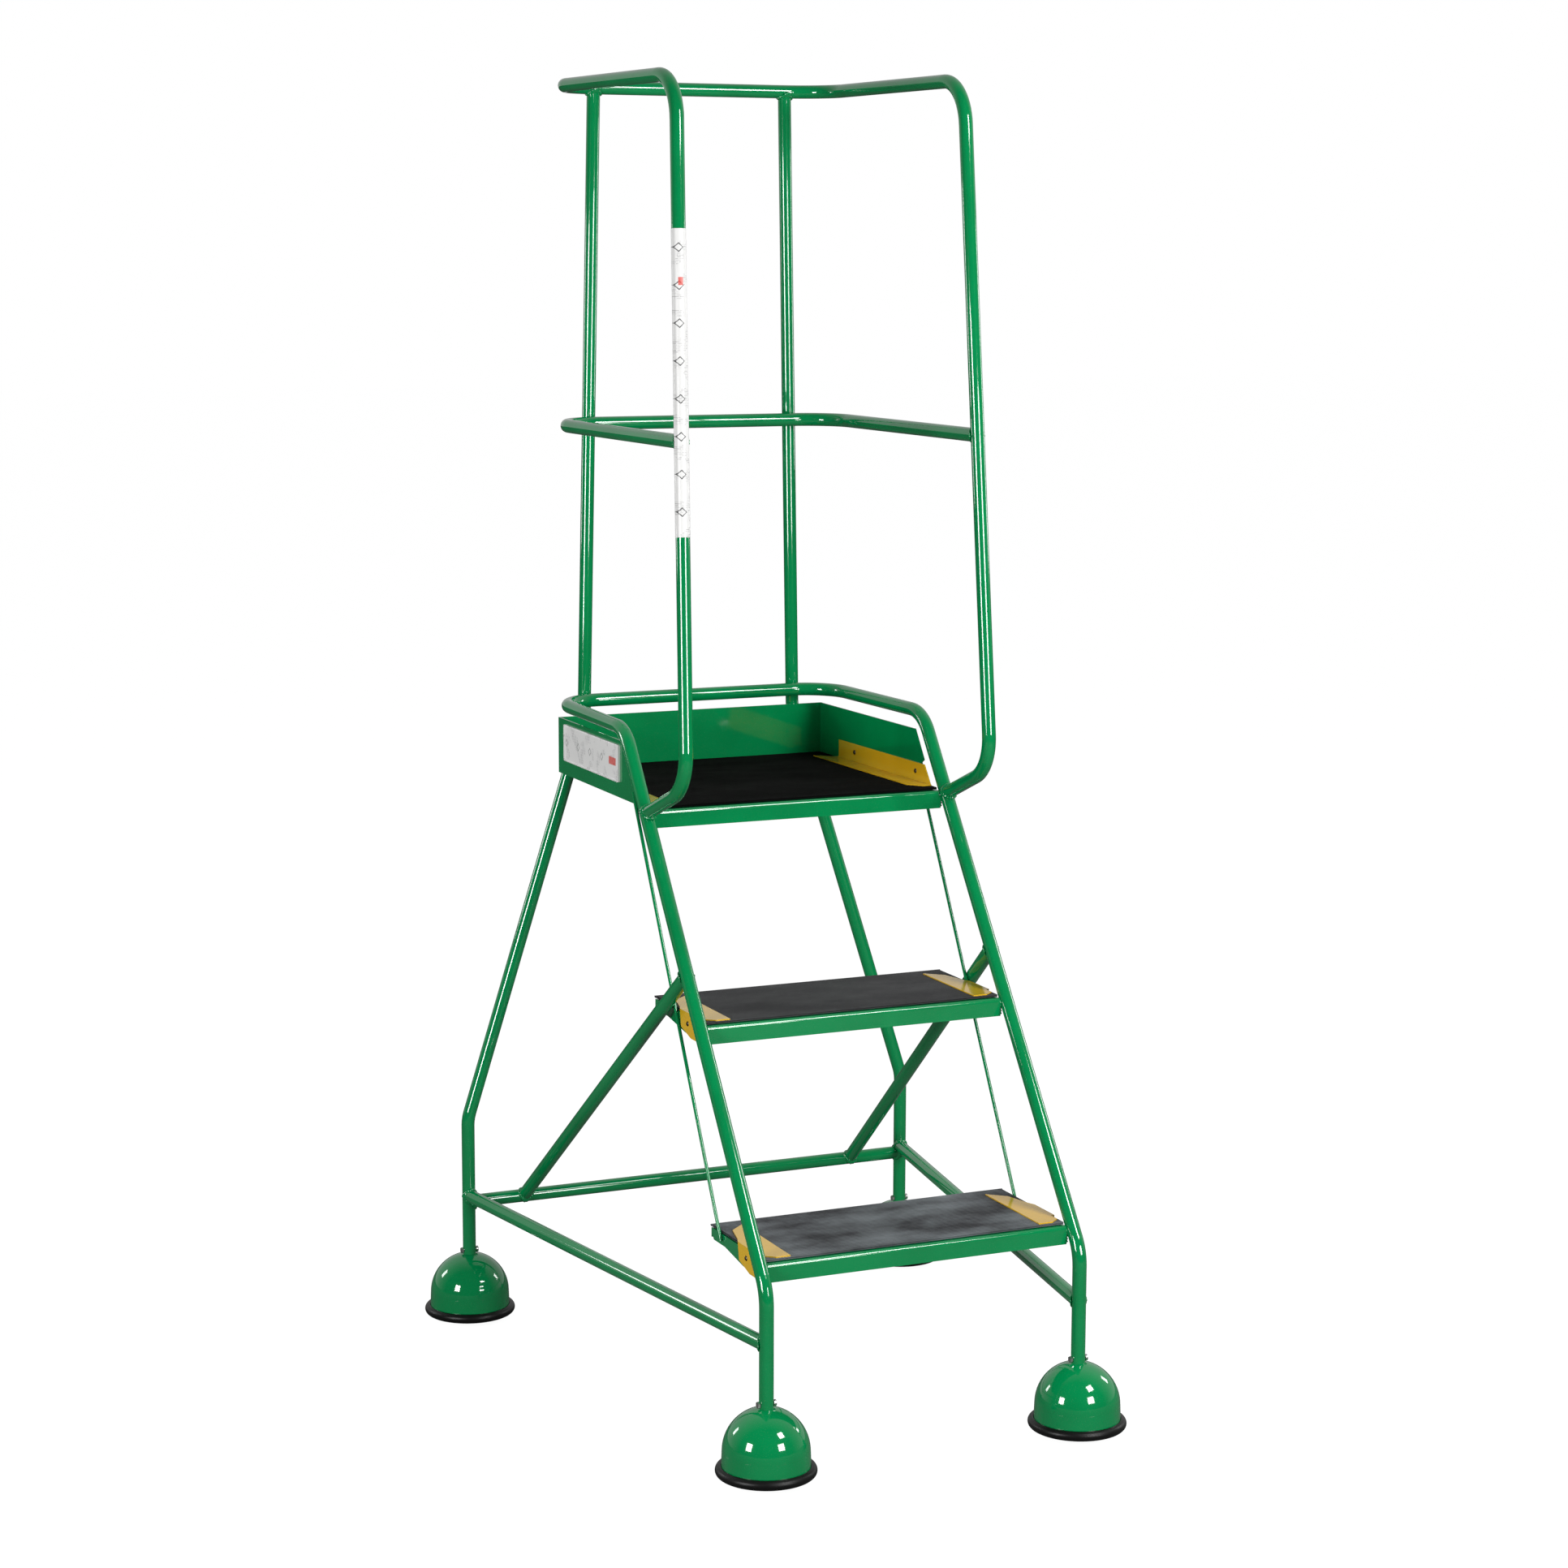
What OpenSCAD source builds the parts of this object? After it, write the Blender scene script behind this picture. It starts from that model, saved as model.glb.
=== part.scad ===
// Mobile ladder stand: two treads and a railed platform on four domed feet.
// Each foot hides a spring-loaded castor that retracts under a climber's weight.
// +X is to the right, +Y to the rear and +Z up. The origin is on the floor, midway between the feet.

/* [Stand] */
// Height of the platform's front edge
platform_h = 762; // [750:1:775]
// Rise from one tread to the next
riser = 254; // [248:1:260]
// Distance between the front and rear leg centres
base_depth = 754; // [744:1:764]
// Distance between the front leg centres
front_width = 428; // [424:1:436]
// Distance between the rear leg centres
rear_width = 664; // [650:1:680]

/* [Tubes] */
// Outside diameter of the frame tube
tube_d = 18; // [17.6:0.1:18.4]
// Wall thickness of the frame tube
tube_wall = 1.5; // [1.4:0.1:1.7]
// Radius of the bends
bend_r = 60; // [54:1:64]
// Gap left for the weld where one tube meets another
weld_gap = 0.1; // [0.1:0.05:0.2]

/* [Guard rail] */
// Height of the top rail
top_rail_z = 1685; // [1665:1:1700]
// Height of the middle rail
mid_rail_z = 1238; // [1225:1:1250]
// Height of the rail round the platform
toe_rail_z = 860; // [857:1:864]

/* [Base] */
// Height of the side rails at the rear legs
side_rail_z = 175; // [172:1:180]
// Height of the rear rail
rear_rail_z = 166; // [162:1:168]
// Height of the braces at the stringers
brace_z = 576; // [568:1:584]

/* [Treads] */
// Depth of each tread
tread_depth = 175; // [170:1:178]
// Height of the folded front lip
lip_h = 23; // [21:1:25]
// Sheet thickness
sheet = 2; // [1.8:0.1:2.2]
// Outside radius of the fold along each front edge
fold_r = 4.5; // [4:0.5:5]
// Thickness of the rubber mats
mat_t = 4; // [3.5:0.5:4.5]
// Height of the boards folded up round the platform
board_h = 76; // [72:1:78]

/* [Feet] */
// Outside radius of the domed feet
dome_r = 54; // [53:0.5:55]
// Thickness of the domed feet
dome_wall = 2; // [1.8:0.1:2.2]
// Section radius of the rubber rings
ring_r = 6.3; // [6:0.1:6.6]
// Clearance of the rubber rings above the floor with the castors out
ring_gap = 8.5; // [8:0.5:9]
// Radius of the castor wheels
wheel_r = 13; // [12.5:0.1:13]
// Offset of each wheel's axle from its swivel axis
trail = 10; // [9:0.5:10]

/* [Hidden] */
$fn = 64;
r = tube_d / 2;
bore = r - tube_wall;
yf = -base_depth / 2;
yr = base_depth / 2;
xf = front_width / 2;
xr = rear_width / 2;
slope = 0.729;
bend_z = 236;
ring_z = ring_gap + ring_r;
ring_major = dome_r + 2;
dome_z = ring_z + 24;
leg_z = 52;
lap = 0.5;
swell = 0.03;
bolt_z = dome_z + dome_r + 4.5;
step_1 = platform_h - 2 * riser + 11;
step_2 = step_1 + riser;
tread_x = xf - r - 0.5;
lip_y = -4;
press = 0.3;
floor_z = platform_h + sheet;
board_y = yr - r - weld_gap - sheet;
board_x = tread_x - 6.5;
taper = atan((tread_x - board_x) / (board_y + sheet - stringer_y(platform_h)));

function stringer_y(z) = yf + (z - bend_z) * slope;
function unit(v) = v / norm(v);
function turn(a, c, b) = acos(unit(c - a) * unit(b - c));
function setback(p, i, q) = i <= 0 || i >= len(p) - 1 ? 0 : q * tan(turn(p[i - 1], p[i], p[i + 1]) / 2);

foot = [xf, yf, leg_z];
knee = [xf, yf, bend_z];
crown = [xf, stringer_y(toe_rail_z), toe_rail_z];
toe_rear = [xf - 11, yr - 2 * r - weld_gap, toe_rail_z];
toe_split = toe_rear + (bend_r + 2) * unit(crown - toe_rear);
rear_foot = [xr, yr, leg_z];
rear_knee = [xr, yr, 284];
rear_shoulder = [157, yr, platform_h + 70];
rail_foot = [xf, stringer_y(platform_h) - 4, platform_h - 1];
rail_knee = [xf - 2, stringer_y(platform_h) - 130, platform_h + 49];
rail_top = [xf - 17, yf + 319, top_rail_z];
rail_rear = [xf - 14, yr - 5, top_rail_z];
mid_front = rail_knee + (rail_top - rail_knee) * (mid_rail_z - rail_knee[2]) / (rail_top[2] - rail_knee[2]);
mid_rear = [xf - 9, yr - 2 * r - 2.7, mid_rail_z];
post_top = [140, yr - 5, top_rail_z];
rod_foot = [tread_x + 2.4, yf + 156, step_1 - 8];
rod_top = [tread_x + 2.4, yf + 446, platform_h + 16];

green = [0.0, 0.48, 0.25];
yellow = [0.95, 0.75, 0.1];
black = [0.05, 0.05, 0.05];
zinc = [0.7, 0.71, 0.73];

// ---- building blocks ----

// Round bar from a to b
module bar(a, b, q) {
  d = b - a;
  translate(a)
    rotate([0, acos(d[2] / norm(d)), atan2(d[1], d[0])])
      cylinder(h = norm(d), r = q);
}

// Part of a ring that carries a bar round the corner c.
// A bend is drawn a trace fatter than its bars, and the bars run a little way into it.
module corner(a, c, b, big, q) {
  u = unit(c - a);
  v = unit(b - c);
  th = turn(a, c, b);
  n = unit(cross(u, v));
  mid = c + unit(v - u) * big / cos(th / 2);
  ax = unit(c - u * big * tan(th / 2) - mid);
  lat = acos(n[2]);
  lon = atan2(n[1], n[0]);
  e1 = [cos(lon) * cos(lat), sin(lon) * cos(lat), -sin(lat)];
  e2 = [-sin(lon), cos(lon), 0];
  translate(mid)
    rotate([0, lat, lon])
      rotate([0, 0, atan2(ax * e2, ax * e1)])
        rotate_extrude(angle = th)
          translate([big, 0])
            circle(q);
}

// Bar along the points p with a bend at every inner point
module bent_bar(p, big, q, over = 0) {
  last = len(p) - 1;
  for (i = [0 : last - 1]) {
    u = unit(p[i + 1] - p[i]);
    a = p[i] + u * (i == 0 ? -over : setback(p, i, big) - lap);
    b = p[i + 1] - u * (i == last - 1 ? -over : setback(p, i + 1, big) - lap);
    bar(a, b, q);
  }
  if (last > 1) {
    for (i = [1 : last - 1]) corner(p[i - 1], p[i], p[i + 1], big, q + swell);
  }
}

// Tube along the points p, open at both ends
module tube(p, big = bend_r) {
  difference() {
    bent_bar(p, big, r);
    bent_bar(p, big, bore, 1);
  }
}

// Cutter that shapes a tube's end to the tube it meets
module cope(a, b) {
  bar(a, b, r + weld_gap);
}

module on_left() {
  mirror([1, 0, 0]) children();
}

// ---- frame, right-hand pieces ----

module stringer() {
  color(green)
    difference() {
      tube([foot, knee, crown, toe_split]);
      translate([xf, yf, bolt_z]) rotate([0, 90, 0]) cylinder(h = 40, r = 2.6, center = true);
    }
}

// Rear leg, bent in under the platform and up again as the post of the guard rail
module rear_leg() {
  color(green)
    difference() {
      tube([rear_foot, rear_knee, rear_shoulder, post_top]);
      cope([post_top[0] - 50, post_top[1], top_rail_z], [post_top[0] + 50, post_top[1], top_rail_z]);
      translate([xr, yr, bolt_z]) rotate([0, 90, 0]) cylinder(h = 40, r = 2.6, center = true);
    }
}

module base_rail() {
  color(green)
    difference() {
      tube([[xr, yr, side_rail_z], [xf, yf, side_rail_z - 4]]);
      cope([xr, yr, 100], [xr, yr, 260]);
      cope([xf, yf, 100], [xf, yf, 230]);
    }
}

module brace() {
  top = [xf, stringer_y(brace_z), brace_z];
  color(green)
    difference() {
      tube([[251, yr, rear_rail_z], top]);
      cope([200, yr, rear_rail_z], [300, yr, rear_rail_z]);
      cope([xf, stringer_y(brace_z - 80), brace_z - 80], [xf, stringer_y(brace_z + 80), brace_z + 80]);
    }
}

module handrail() {
  color(green)
    difference() {
      tube([rail_foot, rail_knee, rail_top, rail_rear + (bend_r + 2) * unit(rail_top - rail_rear)]);
      cope(
        [xf, stringer_y(platform_h - 80), platform_h - 80],
        [xf, stringer_y(platform_h + 80), platform_h + 80]
      );
    }
}

module rear_base_rail() {
  color(green)
    difference() {
      tube([[-xr, yr, rear_rail_z], [xr, yr, rear_rail_z]]);
      cope([xr, yr, 100], [xr, yr, 260]);
      cope([-xr, yr, 100], [-xr, yr, 260]);
      base_rail_cope();
      on_left() base_rail_cope();
    }
}

module base_rail_cope() {
  bar([xr, yr, side_rail_z], [xf, yf, side_rail_z - 4], r + 0.5);
}

// ---- frame, pieces that cross from side to side ----

// Rail bent round both rear corners
module rear_bend(p, q) {
  m = [-p[0], p[1], p[2]];
  n = [-q[0], q[1], q[2]];
  color(green) tube([q, p, m, n]);
}

module toe_rail() {
  rear_bend(toe_rear, toe_split);
}

module top_rail() {
  rear_bend(rail_rear, rail_rear + (bend_r + 2) * unit(rail_top - rail_rear));
}

module mid_rail() {
  difference() {
    rear_bend(mid_rear, mid_front);
    cope(rail_knee + (rail_top - rail_knee) * 0.35, rail_knee + (rail_top - rail_knee) * 0.65);
    on_left() cope(rail_knee + (rail_top - rail_knee) * 0.35, rail_knee + (rail_top - rail_knee) * 0.65);
  }
}

module tie_rods() {
  color(green) {
    bar(rod_foot, rod_top, 2.2);
    on_left() bar(rod_foot, rod_top, 2.2);
  }
}

// ---- platform ----

// Flat sheet drawn in the YZ plane and standing from x
module side_sheet(x, t, pts) {
  translate([x, 0, 0]) rotate([90, 0, 90]) linear_extrude(t) polygon(pts);
}

// Plan of the platform, inset by g and from y0 to y1: it narrows towards the rear
module platform_plan(g, y0, y1) {
  function half(y) = tread_x - g - (y - stringer_y(platform_h)) * tan(taper);
  polygon([[-half(y0), y0], [half(y0), y0], [half(y1), y1], [-half(y1), y1]]);
}

// Side view of the boards: the front edge is cut back beside the stringer
module board_profile() {
  front = stringer_y(platform_h) + 13;
  side_sheet(-250, 500, [[front + 11, platform_h - 1], [front + 11 + 34 * slope, platform_h + 33],
    [front + 2 + 37 * slope, platform_h + 37], [front + board_h * slope, platform_h + board_h],
    [board_y + sheet, platform_h + board_h], [board_y + sheet, platform_h - 1]]);
}

module stringer_copes() {
  cope([xf, stringer_y(650), 650], [xf, stringer_y(900), 900]);
  on_left() cope([xf, stringer_y(650), 650], [xf, stringer_y(900), 900]);
}

module platform_tray() {
  y0 = stringer_y(platform_h) + lip_y;
  y1 = board_y + sheet;
  color(green)
    difference() {
      union() {
        translate([0, 0, platform_h]) linear_extrude(sheet) platform_plan(0, y0 + 20, y1);
        across(y0, floor_z, tread_x) folded_profile(30, lip_h, fold_r);
        intersection() {
          difference() {
            translate([0, 0, platform_h]) linear_extrude(board_h) platform_plan(0, y0, y1);
            translate([0, 0, platform_h - 1])
              linear_extrude(board_h + 2) platform_plan(sheet, y0 - 1, board_y);
          }
          board_profile();
        }
      }
      stringer_copes();
    }
}

module platform_mat() {
  color(black)
    difference() {
      translate([0, 0, floor_z + 0.02]) {
        linear_extrude(mat_t - press)
          platform_plan(sheet + 0.3, stringer_y(platform_h) + 3, board_y - 0.3);
        linear_extrude(mat_t)
          platform_plan(sheet + 29.2, stringer_y(platform_h) + 3, board_y - 0.3);
      }
      stringer_copes();
    }
}

// Angle along the right edge of the platform: a flange on the mat and a leg up the board
module platform_strip() {
  z = floor_z + mat_t - press + 0.07;
  y0 = 18;
  y1 = 296;
  color(yellow)
    translate([tread_x, stringer_y(platform_h), z])
      rotate([0, 0, taper])
        translate([-sheet - 0.4, 0, 0]) {
          linear_extrude(1.5)
            polygon([[0, y0], [0, y1 + 6], [-8, y1 + 6], [-28, y1 + 26], [-28, y0 + 20], [-12, y0]]);
          side_sheet(-1.5, 1.5, [[y0, 0], [y1, 0], [y1, 26], [y0 + 19, 26]]);
        }
}

module platform_strips() {
  platform_strip();
  on_left() platform_strip();
}

// ---- treads ----

// Right end plate of a tread whose top is at z and whose front edge is at y
module end_plate(y, z) {
  side_sheet(tread_x - sheet, sheet, [
    [y + sheet, z - fold_r], [y + sheet, z - lip_h], [y + 74, z - lip_h],
    [y + 132, z - lip_h + 9], [y + tread_depth - 8, z - lip_h + 9],
    [y + tread_depth, z - 6], [y + tread_depth, z - 1], [y + fold_r, z - 1]
  ]);
}

// Side view of a sheet folded down at the front: depth d, front lip h, outer fold radius q
module folded_profile(d, h, q) {
  difference() {
    union() {
      translate([q, -sheet]) square([d - q, sheet]);
      translate([0, -h]) square([sheet, h - q]);
      translate([q, -q]) circle(q);
    }
    translate([sheet, -h - 1]) square([d, h + 1 - q]);
    translate([q, -h]) square([d, h - sheet]);
    translate([q, -q]) circle(q - sheet);
  }
}

// Extrudes a side view along X to the half width w, with its corner at y and z
module across(y, z, w) {
  translate([-w, y, z]) rotate([90, 0, 90]) linear_extrude(2 * w) children();
}

module tread(z) {
  y = stringer_y(z) + lip_y;
  color(green)
    union() {
      across(y, z, tread_x) folded_profile(tread_depth, lip_h, fold_r);
      translate([-tread_x, y + tread_depth - sheet, z - 12]) cube([2 * tread_x, sheet, 12]);
      end_plate(y, z);
      on_left() end_plate(y, z);
    }
}

module tread_mat(z) {
  color(black)
    union() {
      translate([-tread_x + 1, stringer_y(z) + 3, z + 0.02])
        cube([2 * tread_x - 2, tread_depth - 8, mat_t - press]);
      translate([-tread_x + 34.6, stringer_y(z) + 3, z + 0.02])
        cube([2 * tread_x - 69.2, tread_depth - 8, mat_t]);
    }
}

// Angle over the right end of a tread: a flange on the mat and a leg down the end plate
module tread_strip(z) {
  y = stringer_y(z);
  top = z + mat_t - press + 0.07;
  color(yellow)
    difference() {
      union() {
        translate([0, 0, top])
          linear_extrude(1.5)
            polygon([[tread_x + 1.8, y + 32], [tread_x + 1.8, y + 84], [tread_x - 3, y + 96],
              [tread_x - 12, y + 132], [tread_x - 34, y + 152], [tread_x - 34, y + 6],
              [tread_x - 15, y + 6], [tread_x - 3, y + 16], [tread_x - 3, y + 32]]);
        side_sheet(tread_x + 0.3, 1.5, [[y + 32, top], [y + 32, z - 26], [y + 48, z - 26],
          [y + 80, z - 17], [y + 84, top]]);
      }
      cope([xf, stringer_y(z - 60), z - 60], [xf, stringer_y(z + 60), z + 60]);
    }
}

module tread_strips(z) {
  tread_strip(z);
  on_left() tread_strip(z);
}

// ---- small pieces ----

// Countersunk screw head lying on the face x, looking along d
module screw_head(x, y, z, d) {
  translate([x, y, z]) rotate([0, 90 * d, 0]) cylinder(h = 1.2, r1 = 3.4, r2 = 2.2);
}

module screw_set() {
  z = floor_z + mat_t + 14;
  translate([tread_x, stringer_y(platform_h), 0])
    rotate([0, 0, taper]) {
      screw_head(-sheet - 1.95, 62, z, -1);
      screw_head(-sheet - 1.95, 246, z, -1);
    }
  screw_head(tread_x + 1.85, stringer_y(step_1) + 58, step_1 - 9, 1);
  screw_head(tread_x + 1.85, stringer_y(step_2) + 58, step_2 - 9, 1);
}

module strip_screws() {
  color(zinc) {
    screw_set();
    on_left() screw_set();
  }
}

// Printed sleeve wrapped round the left front upright
module upright_label() {
  a = rail_knee + (rail_top - rail_knee) * 0.355;
  b = rail_knee + (rail_top - rail_knee) * 0.785;
  color([0.93, 0.93, 0.92])
    on_left()
      difference() {
        bar(a, b, r + 0.35);
        bar(a - 5 * unit(b - a), b + 5 * unit(b - a), r + 0.05);
        cope(mid_front, mid_rear);
      }
}

module side_label() {
  color([0.93, 0.93, 0.92])
    on_left()
      translate([tread_x, stringer_y(platform_h), platform_h + 20])
        rotate([0, 0, taper])
          translate([0.05, 120, 0])
            cube([0.3, 214, 50]);
}

// Bolt across a leg, over the castor's spring
module leg_bolt(x, y) {
  translate([x, y, bolt_z])
    rotate([0, 90, 0]) {
      cylinder(h = 2 * r + 3, r = 2.5, center = true);
      translate([0, 0, r + 0.2]) cylinder(h = 3, r = 4.2);
      translate([0, 0, -r - 3.2]) cylinder(h = 3, r = 4.2, $fn = 6);
    }
}

module leg_bolts() {
  color(zinc) {
    leg_bolt(xf, yf);
    leg_bolt(-xf, yf);
    leg_bolt(xr, yr);
    leg_bolt(-xr, yr);
  }
}

// ---- feet and castors, drawn on the Z axis ----

// Half ball of radius q on a flared skirt of height h
module dome_body(q, h) {
  difference() {
    sphere(q);
    translate([-q, -q, -2 * q]) cube(2 * q);
  }
  translate([0, 0, -h]) cylinder(h = h, r1 = q + 1, r2 = q + 0.1);
}

module dome() {
  color(green)
    difference() {
      dome_body(dome_r, 25);
      dome_body(dome_r - dome_wall, 26);
      cylinder(h = 2 * dome_r, r = r + weld_gap);
    }
}

module ring() {
  color(black)
    rotate_extrude()
      difference() {
        translate([ring_major, 0]) circle(ring_r);
        translate([dome_r + 0.6 - dome_wall, -1.3]) square([dome_wall + 0.7, 20]);
      }
}

// Open coil spring standing on the floor plane, h tall
module spring(h) {
  turns = 3.5;
  wire = 0.8;
  mid = bore - 1.6;
  steps = 32;
  color(zinc)
    for (i = [0 : steps - 1]) {
      a0 = 360 * turns * i / steps;
      a1 = 360 * turns * (i + 1) / steps;
      z0 = wire + (h - 2 * wire) * i / steps;
      z1 = wire + (h - 2 * wire) * (i + 1) / steps;
      hull() {
        translate([mid * cos(a0), mid * sin(a0), z0]) sphere(wire, $fn = 6);
        translate([mid * cos(a1), mid * sin(a1), z1]) sphere(wire, $fn = 6);
      }
    }
}

spring_z = leg_z + 16.1;
spring_h = bolt_z - 2.6 - spring_z;
plate_z = 2 * wheel_r + 5.5;

module castor_spring() {
  translate([0, 0, spring_z]) spring(spring_h);
}

module castor_stem() {
  color(zinc)
    union() {
      translate([0, 0, plate_z + 3]) cylinder(h = 4, r = 12);
      translate([0, 0, plate_z + 7]) cylinder(h = leg_z + 16 - plate_z - 7, r = bore - 0.05);
      translate([0, 0, plate_z - 2]) cylinder(h = 5, r = 4);
      translate([0, 0, plate_z - 3.2]) cylinder(h = 1.3, r = 6);
    }
}

module castor_fork() {
  color(zinc)
    difference() {
      union() {
        translate([-12, -10, plate_z - 1.7]) cube([22 + trail, 20, 4.5]);
        for (s = [-1, 1])
          translate([0, s * 8.75 - 1.25, 0])
            rotate([90, 0, 0])
              translate([0, 0, -2.5])
                linear_extrude(2.5)
                  polygon([
                    [-9, plate_z], [trail + 7, plate_z],
                    [trail + 5, wheel_r - 4], [trail - 5, wheel_r - 4]
                  ]);
      }
      translate([0, 0, plate_z - 10]) cylinder(h = 20, r = 4.05);
      translate([trail, 0, wheel_r]) rotate([90, 0, 0]) cylinder(h = 40, r = 2.52, center = true);
    }
}

module castor_axle() {
  color(zinc)
    translate([trail, 0, wheel_r])
      rotate([90, 0, 0]) {
        cylinder(h = 23, r = 2.5, center = true);
        translate([0, 0, 10.1]) cylinder(h = 2, r = 3.8);
        translate([0, 0, -12.1]) cylinder(h = 2, r = 3.8);
      }
}

module castor_wheel() {
  color([0.12, 0.12, 0.13])
    translate([trail, 0, wheel_r])
      rotate([90, 0, 0])
        difference() {
          rotate_extrude()
            difference() {
              translate([2.55, -7]) square([wheel_r - 2.55, 14]);
              translate([5, 5]) square([4.5, 3]);
              translate([5, -8]) square([4.5, 3]);
            }
          cylinder(h = 30, r = 2.55, center = true);
        }
}

module at(x, y) {
  translate([x, y, 0]) children();
}

on_left() stringer();  // left_stringer
stringer();  // right_stringer
toe_rail();
on_left() rear_leg();  // left_rear_leg
rear_leg();  // right_rear_leg
on_left() base_rail();  // left_base_rail
base_rail();  // right_base_rail
rear_base_rail();
on_left() brace();  // left_brace
brace();  // right_brace
on_left() handrail();  // left_handrail
handrail();  // right_handrail
top_rail();
mid_rail();
tie_rods();
platform_tray();
platform_mat();
platform_strips();
tread(step_1);  // tread_1
tread_mat(step_1);  // tread_1_mat
tread_strips(step_1);  // tread_1_strips
tread(step_2);  // tread_2
tread_mat(step_2);  // tread_2_mat
tread_strips(step_2);  // tread_2_strips
strip_screws();
upright_label();
side_label();
leg_bolts();
at(-xf, yf) translate([0, 0, dome_z]) dome();  // front_left_dome
at(xf, yf) translate([0, 0, dome_z]) dome();  // front_right_dome
at(-xr, yr) translate([0, 0, dome_z]) dome();  // rear_left_dome
at(xr, yr) translate([0, 0, dome_z]) dome();  // rear_right_dome
at(-xf, yf) translate([0, 0, ring_z]) ring();  // front_left_ring
at(xf, yf) translate([0, 0, ring_z]) ring();  // front_right_ring
at(-xr, yr) translate([0, 0, ring_z]) ring();  // rear_left_ring
at(xr, yr) translate([0, 0, ring_z]) ring();  // rear_right_ring
at(-xf, yf) castor_spring();  // front_left_spring
at(xf, yf) castor_spring();  // front_right_spring
at(-xr, yr) castor_spring();  // rear_left_spring
at(xr, yr) castor_spring();  // rear_right_spring
at(-xf, yf) castor_stem();  // front_left_stem
at(xf, yf) castor_stem();  // front_right_stem
at(-xr, yr) castor_stem();  // rear_left_stem
at(xr, yr) castor_stem();  // rear_right_stem
at(-xf, yf) castor_fork();  // front_left_fork
at(xf, yf) castor_fork();  // front_right_fork
at(-xr, yr) castor_fork();  // rear_left_fork
at(xr, yr) castor_fork();  // rear_right_fork
at(-xf, yf) castor_axle();  // front_left_axle
at(xf, yf) castor_axle();  // front_right_axle
at(-xr, yr) castor_axle();  // rear_left_axle
at(xr, yr) castor_axle();  // rear_right_axle
at(-xf, yf) castor_wheel();  // front_left_wheel
at(xf, yf) castor_wheel();  // front_right_wheel
at(-xr, yr) castor_wheel();  // rear_left_wheel
at(xr, yr) castor_wheel();  // rear_right_wheel
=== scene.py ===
# %% [markdown]
# A mobile ladder stand: two treads and a railed platform on a frame of bent steel tube.
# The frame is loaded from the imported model, with every piece already in its place. What is
# left for this lesson is the looks: glossy enamel on steel, ribbed rubber mats, weld beads
# at the joints, printed labels, and the room that the enamel reflects.

# %% Load the frame
import math

import bpy
from mathutils import Matrix, Vector


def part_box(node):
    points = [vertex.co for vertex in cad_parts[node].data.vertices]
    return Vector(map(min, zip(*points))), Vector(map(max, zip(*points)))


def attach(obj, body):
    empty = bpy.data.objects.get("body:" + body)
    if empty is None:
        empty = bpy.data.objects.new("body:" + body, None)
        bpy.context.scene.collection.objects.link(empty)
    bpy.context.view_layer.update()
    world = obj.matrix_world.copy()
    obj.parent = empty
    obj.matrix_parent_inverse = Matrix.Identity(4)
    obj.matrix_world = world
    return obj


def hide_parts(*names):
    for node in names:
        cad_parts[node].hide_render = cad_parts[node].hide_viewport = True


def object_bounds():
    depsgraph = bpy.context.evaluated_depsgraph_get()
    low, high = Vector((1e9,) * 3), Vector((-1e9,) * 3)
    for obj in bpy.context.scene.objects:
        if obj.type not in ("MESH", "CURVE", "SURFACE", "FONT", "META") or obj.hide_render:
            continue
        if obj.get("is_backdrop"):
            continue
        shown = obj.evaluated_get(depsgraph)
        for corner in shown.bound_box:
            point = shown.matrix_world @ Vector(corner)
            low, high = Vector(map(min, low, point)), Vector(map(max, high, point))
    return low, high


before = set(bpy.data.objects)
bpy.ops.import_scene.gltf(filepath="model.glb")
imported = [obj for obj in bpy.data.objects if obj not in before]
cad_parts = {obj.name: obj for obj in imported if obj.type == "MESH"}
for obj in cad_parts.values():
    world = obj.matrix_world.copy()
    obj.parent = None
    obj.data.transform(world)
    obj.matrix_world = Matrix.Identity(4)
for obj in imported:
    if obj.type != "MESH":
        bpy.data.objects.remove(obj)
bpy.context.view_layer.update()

# %% [markdown]
# A material is a small graph of nodes. These helpers keep the graphs short to write. One adds
# a node and sets its values by name. The others feed a socket with either a plain value or
# another node's output, so that a sum or a mix reads like one line of arithmetic.

# %% Node helpers
def add(tree, kind, **values):
    """Adds a node. Values named like a setting are set on the node, the rest on its sockets."""
    node = tree.nodes.new(kind)
    for name, value in values.items():
        if hasattr(node, name):
            setattr(node, name, value)
        else:
            node.inputs[name.replace("_", " ")].default_value = value
    return node


def join(tree, source, target):
    tree.links.new(source, target)


def feed(tree, value, target):
    """Joins value to the target socket if it is a socket, or else sets it there."""
    if isinstance(value, bpy.types.NodeSocket):
        join(tree, value, target)
    else:
        target.default_value = value


def math_node(tree, operation, *terms):
    """A Math node on up to three terms, each a socket or a plain number."""
    node = add(tree, "ShaderNodeMath", operation=operation)
    for slot, term in enumerate(terms):
        feed(tree, term, node.inputs[slot])
    return node.outputs[0]


def mix_colours(tree, share, first, second):
    """A colour Mix node, which keeps its two colours at places 6 and 7 and its result at 2."""
    node = add(tree, "ShaderNodeMix", data_type="RGBA")
    for slot, value in ((0, share), (6, first), (7, second)):
        feed(tree, value, node.inputs[slot])
    return node.outputs[2]


def new_material(name):
    """An empty material. Gives the material, its tree and its Principled shader."""
    m = bpy.data.materials.new(name)
    m.use_nodes = True
    return m, m.node_tree, m.node_tree.nodes["Principled BSDF"]


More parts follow.
